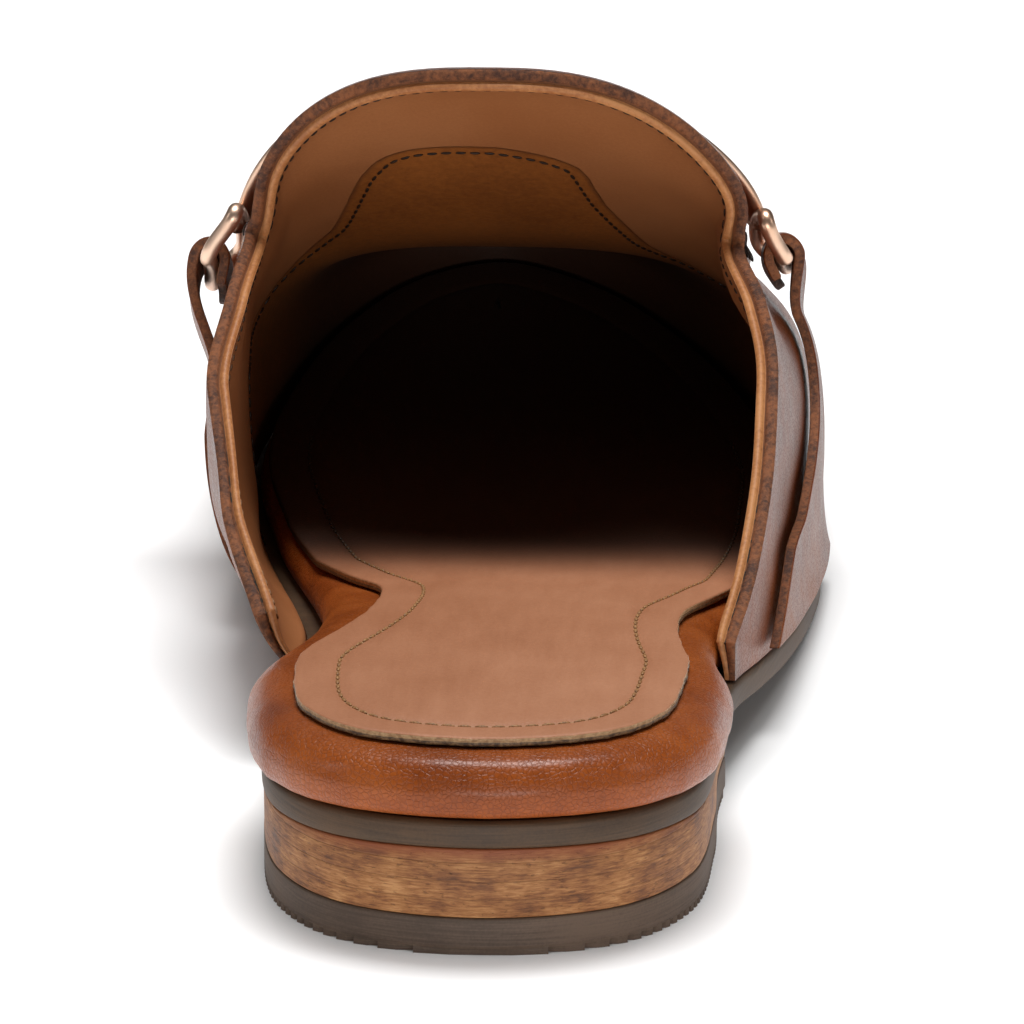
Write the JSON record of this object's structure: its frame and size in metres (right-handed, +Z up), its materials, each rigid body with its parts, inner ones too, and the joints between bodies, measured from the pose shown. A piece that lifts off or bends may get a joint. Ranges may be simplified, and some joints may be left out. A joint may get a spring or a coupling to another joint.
{
  "type": "mule shoe",
  "caption": "Right-foot backless loafer mule in leather, with a low stacked heel, a padded rim, side straps and a metal bar over the apron.",
  "frame": {"origin": "on the floor, under the centre of the shoe's bounding box", "axes": "+Y from heel to toe, +X towards the little-toe side, +Z up"},
  "size_m": [0.095, 0.2604, 0.0836],
  "materials": {
    "top_lift_rubber": "matt grey-brown",
    "stacked_heel": "fibrous, lightly waxed",
    "sole_rubber": "matt dark brown",
    "rim_leather": "pebbled, semi-gloss",
    "sock_leather": "smooth, satin",
    "upper_leather": "pebbled, semi-gloss",
    "gold_metal": "polished pale gold"
  },
  "bodies": {
    "root": {"top_lift": "top_lift_rubber", "heel_block": "stacked_heel", "outsole": "sole_rubber", "footbed": "rim_leather", "sock": "sock_leather", "upper": "upper_leather", "strap_lateral": "upper_leather", "strap_medial": "upper_leather", "bar": "gold_metal"}
  },
  "joints": []
}
